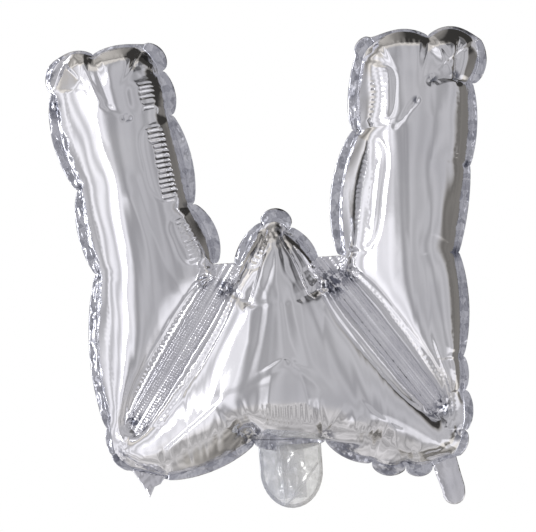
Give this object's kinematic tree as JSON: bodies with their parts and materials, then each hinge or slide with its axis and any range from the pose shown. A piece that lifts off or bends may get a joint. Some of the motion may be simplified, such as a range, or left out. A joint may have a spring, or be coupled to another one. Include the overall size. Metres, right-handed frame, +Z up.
{
  "type": "letter foil balloon",
  "caption": "Silver foil balloon in the shape of a capital W, air filled, with a clear filling tail under its neck and a tab for a ribbon.",
  "frame": {"origin": "the neck, where the tail leaves the bottom seam, in the middle of the film's thickness", "axes": "+Z up the letter, +Y from front to back, +X to the right as the letter is read from the front"},
  "size_m": [0.3555, 0.0966, 0.384],
  "materials": {
    "silver_film": "mirror-bright metallised film",
    "clear_film": "clear glossy film",
    "valve_film": "milky translucent film"
  },
  "bodies": {
    "root": {"foil_front": "silver_film", "foil_back": "silver_film", "rim_apex": "silver_film", "rim_peak_left": "silver_film", "rim_peak_right": "silver_film", "rim_leg_left_inner": "silver_film", "rim_leg_left_top": "silver_film", "rim_leg_left_outer": "silver_film", "rim_foot_left": "silver_film", "rim_bottom_left": "silver_film", "neck_lobe_front": "silver_film", "neck_lobe_back": "silver_film", "rim_bottom_right": "silver_film", "rim_foot_right": "silver_film", "rim_leg_right_outer": "silver_film", "rim_leg_right_top": "silver_film", "rim_leg_right_inner": "silver_film", "web_left": "silver_film", "web_right": "silver_film", "hanging_tab": "silver_film", "folded_tab": "silver_film", "tail_front": "clear_film", "tail_back": "clear_film", "tail_seam": "clear_film", "valve_sleeve": "valve_film"}
  },
  "joints": []
}
